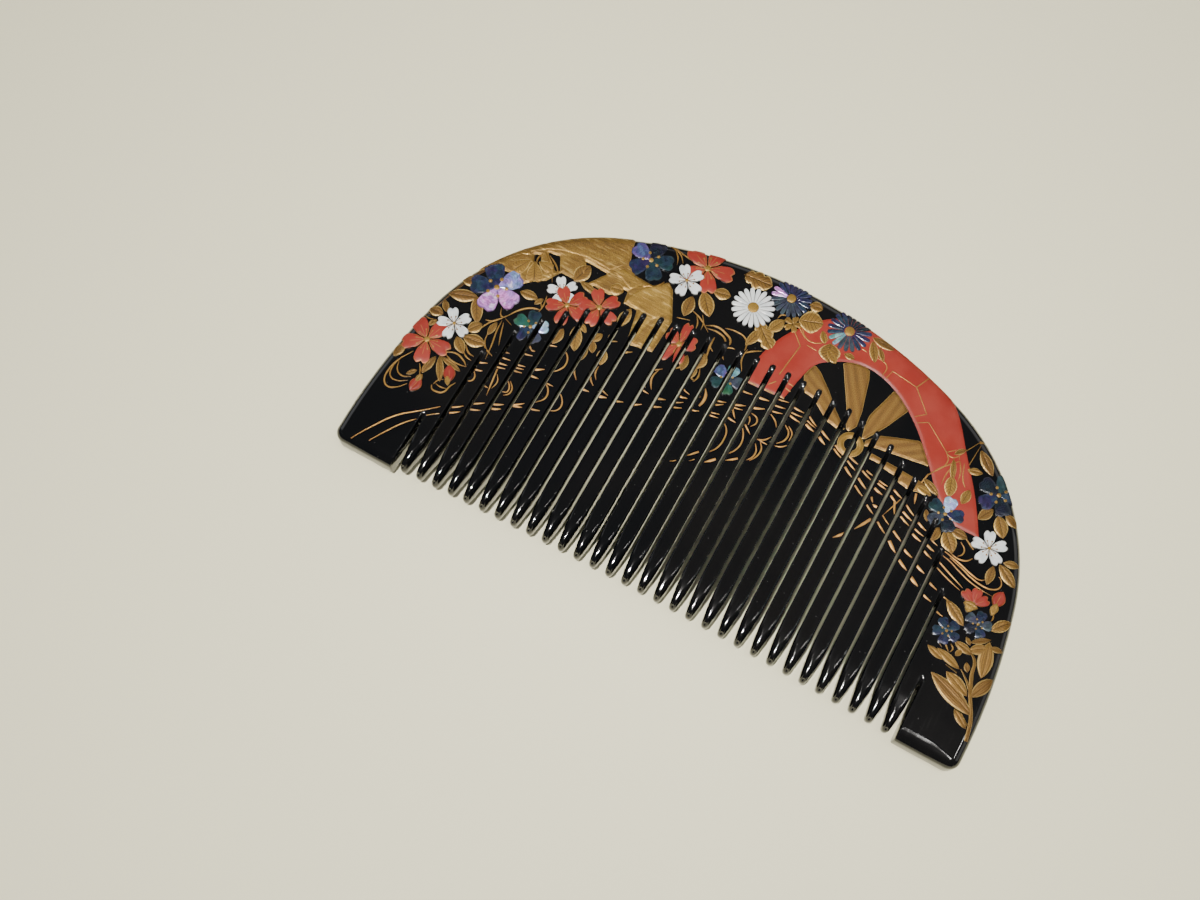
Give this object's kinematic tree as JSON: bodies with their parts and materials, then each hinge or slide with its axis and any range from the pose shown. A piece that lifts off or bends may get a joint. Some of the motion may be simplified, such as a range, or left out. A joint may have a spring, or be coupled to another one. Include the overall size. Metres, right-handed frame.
{
  "type": "lacquered hair comb",
  "caption": "Half-moon hair comb in glossy black lacquer, its face covered with raised gold, coral and shell blossoms, wheels, leaves and water lines, with fine teeth between two guards.",
  "frame": {"origin": "middle of the comb's outline, on its flat back face, so the comb lies on Z = 0", "axes": "+X across the comb, +Y from the teeth to the crown, +Z out of the decorated front face"},
  "size_m": [0.0978, 0.0536, 0.0051],
  "materials": {
    "black_lacquer": "wood under polished black lacquer",
    "gold": "raised powdered gold on lacquer, softly shiny",
    "coral_lacquer": "satin coral red lacquer",
    "white_shell": "white shell, softly shiny",
    "blue_shell": "iridescent abalone shell, blue, teal and violet"
  },
  "bodies": {
    "root": {"comb_body": "black_lacquer", "gold_wheel": "gold", "red_wheel_rim": "coral_lacquer", "wheel_spokes": "gold", "wheel_hub": "gold", "water_lines": "gold", "leaves_left": "gold", "leaves_middle": "gold", "leaves_right": "gold", "branch_right": "gold", "blue_cherry_1": "blue_shell", "blue_cherry_2": "blue_shell", "blue_cherry_3": "blue_shell", "blue_cherry_4": "blue_shell", "blue_cherry_5": "blue_shell", "blue_cherry_6": "blue_shell", "small_blue_flower_1": "blue_shell", "small_blue_flower_2": "blue_shell", "shell_chrysanthemum_1": "blue_shell", "shell_chrysanthemum_2": "blue_shell", "white_chrysanthemum": "white_shell", "white_cherry_1": "white_shell", "white_cherry_2": "white_shell", "white_cherry_3": "white_shell", "white_cherry_4": "white_shell", "red_cherry_1": "coral_lacquer", "red_cherry_2": "coral_lacquer", "red_cherry_3": "coral_lacquer", "red_cherry_4": "coral_lacquer", "red_cherry_5": "coral_lacquer", "red_bud_1": "coral_lacquer", "red_bud_2": "coral_lacquer", "red_bud_3": "coral_lacquer", "red_bud_4": "coral_lacquer", "chrysanthemum_hearts": "gold", "shell_cherry_hearts": "gold", "red_cherry_hearts": "gold"}
  },
  "joints": []
}
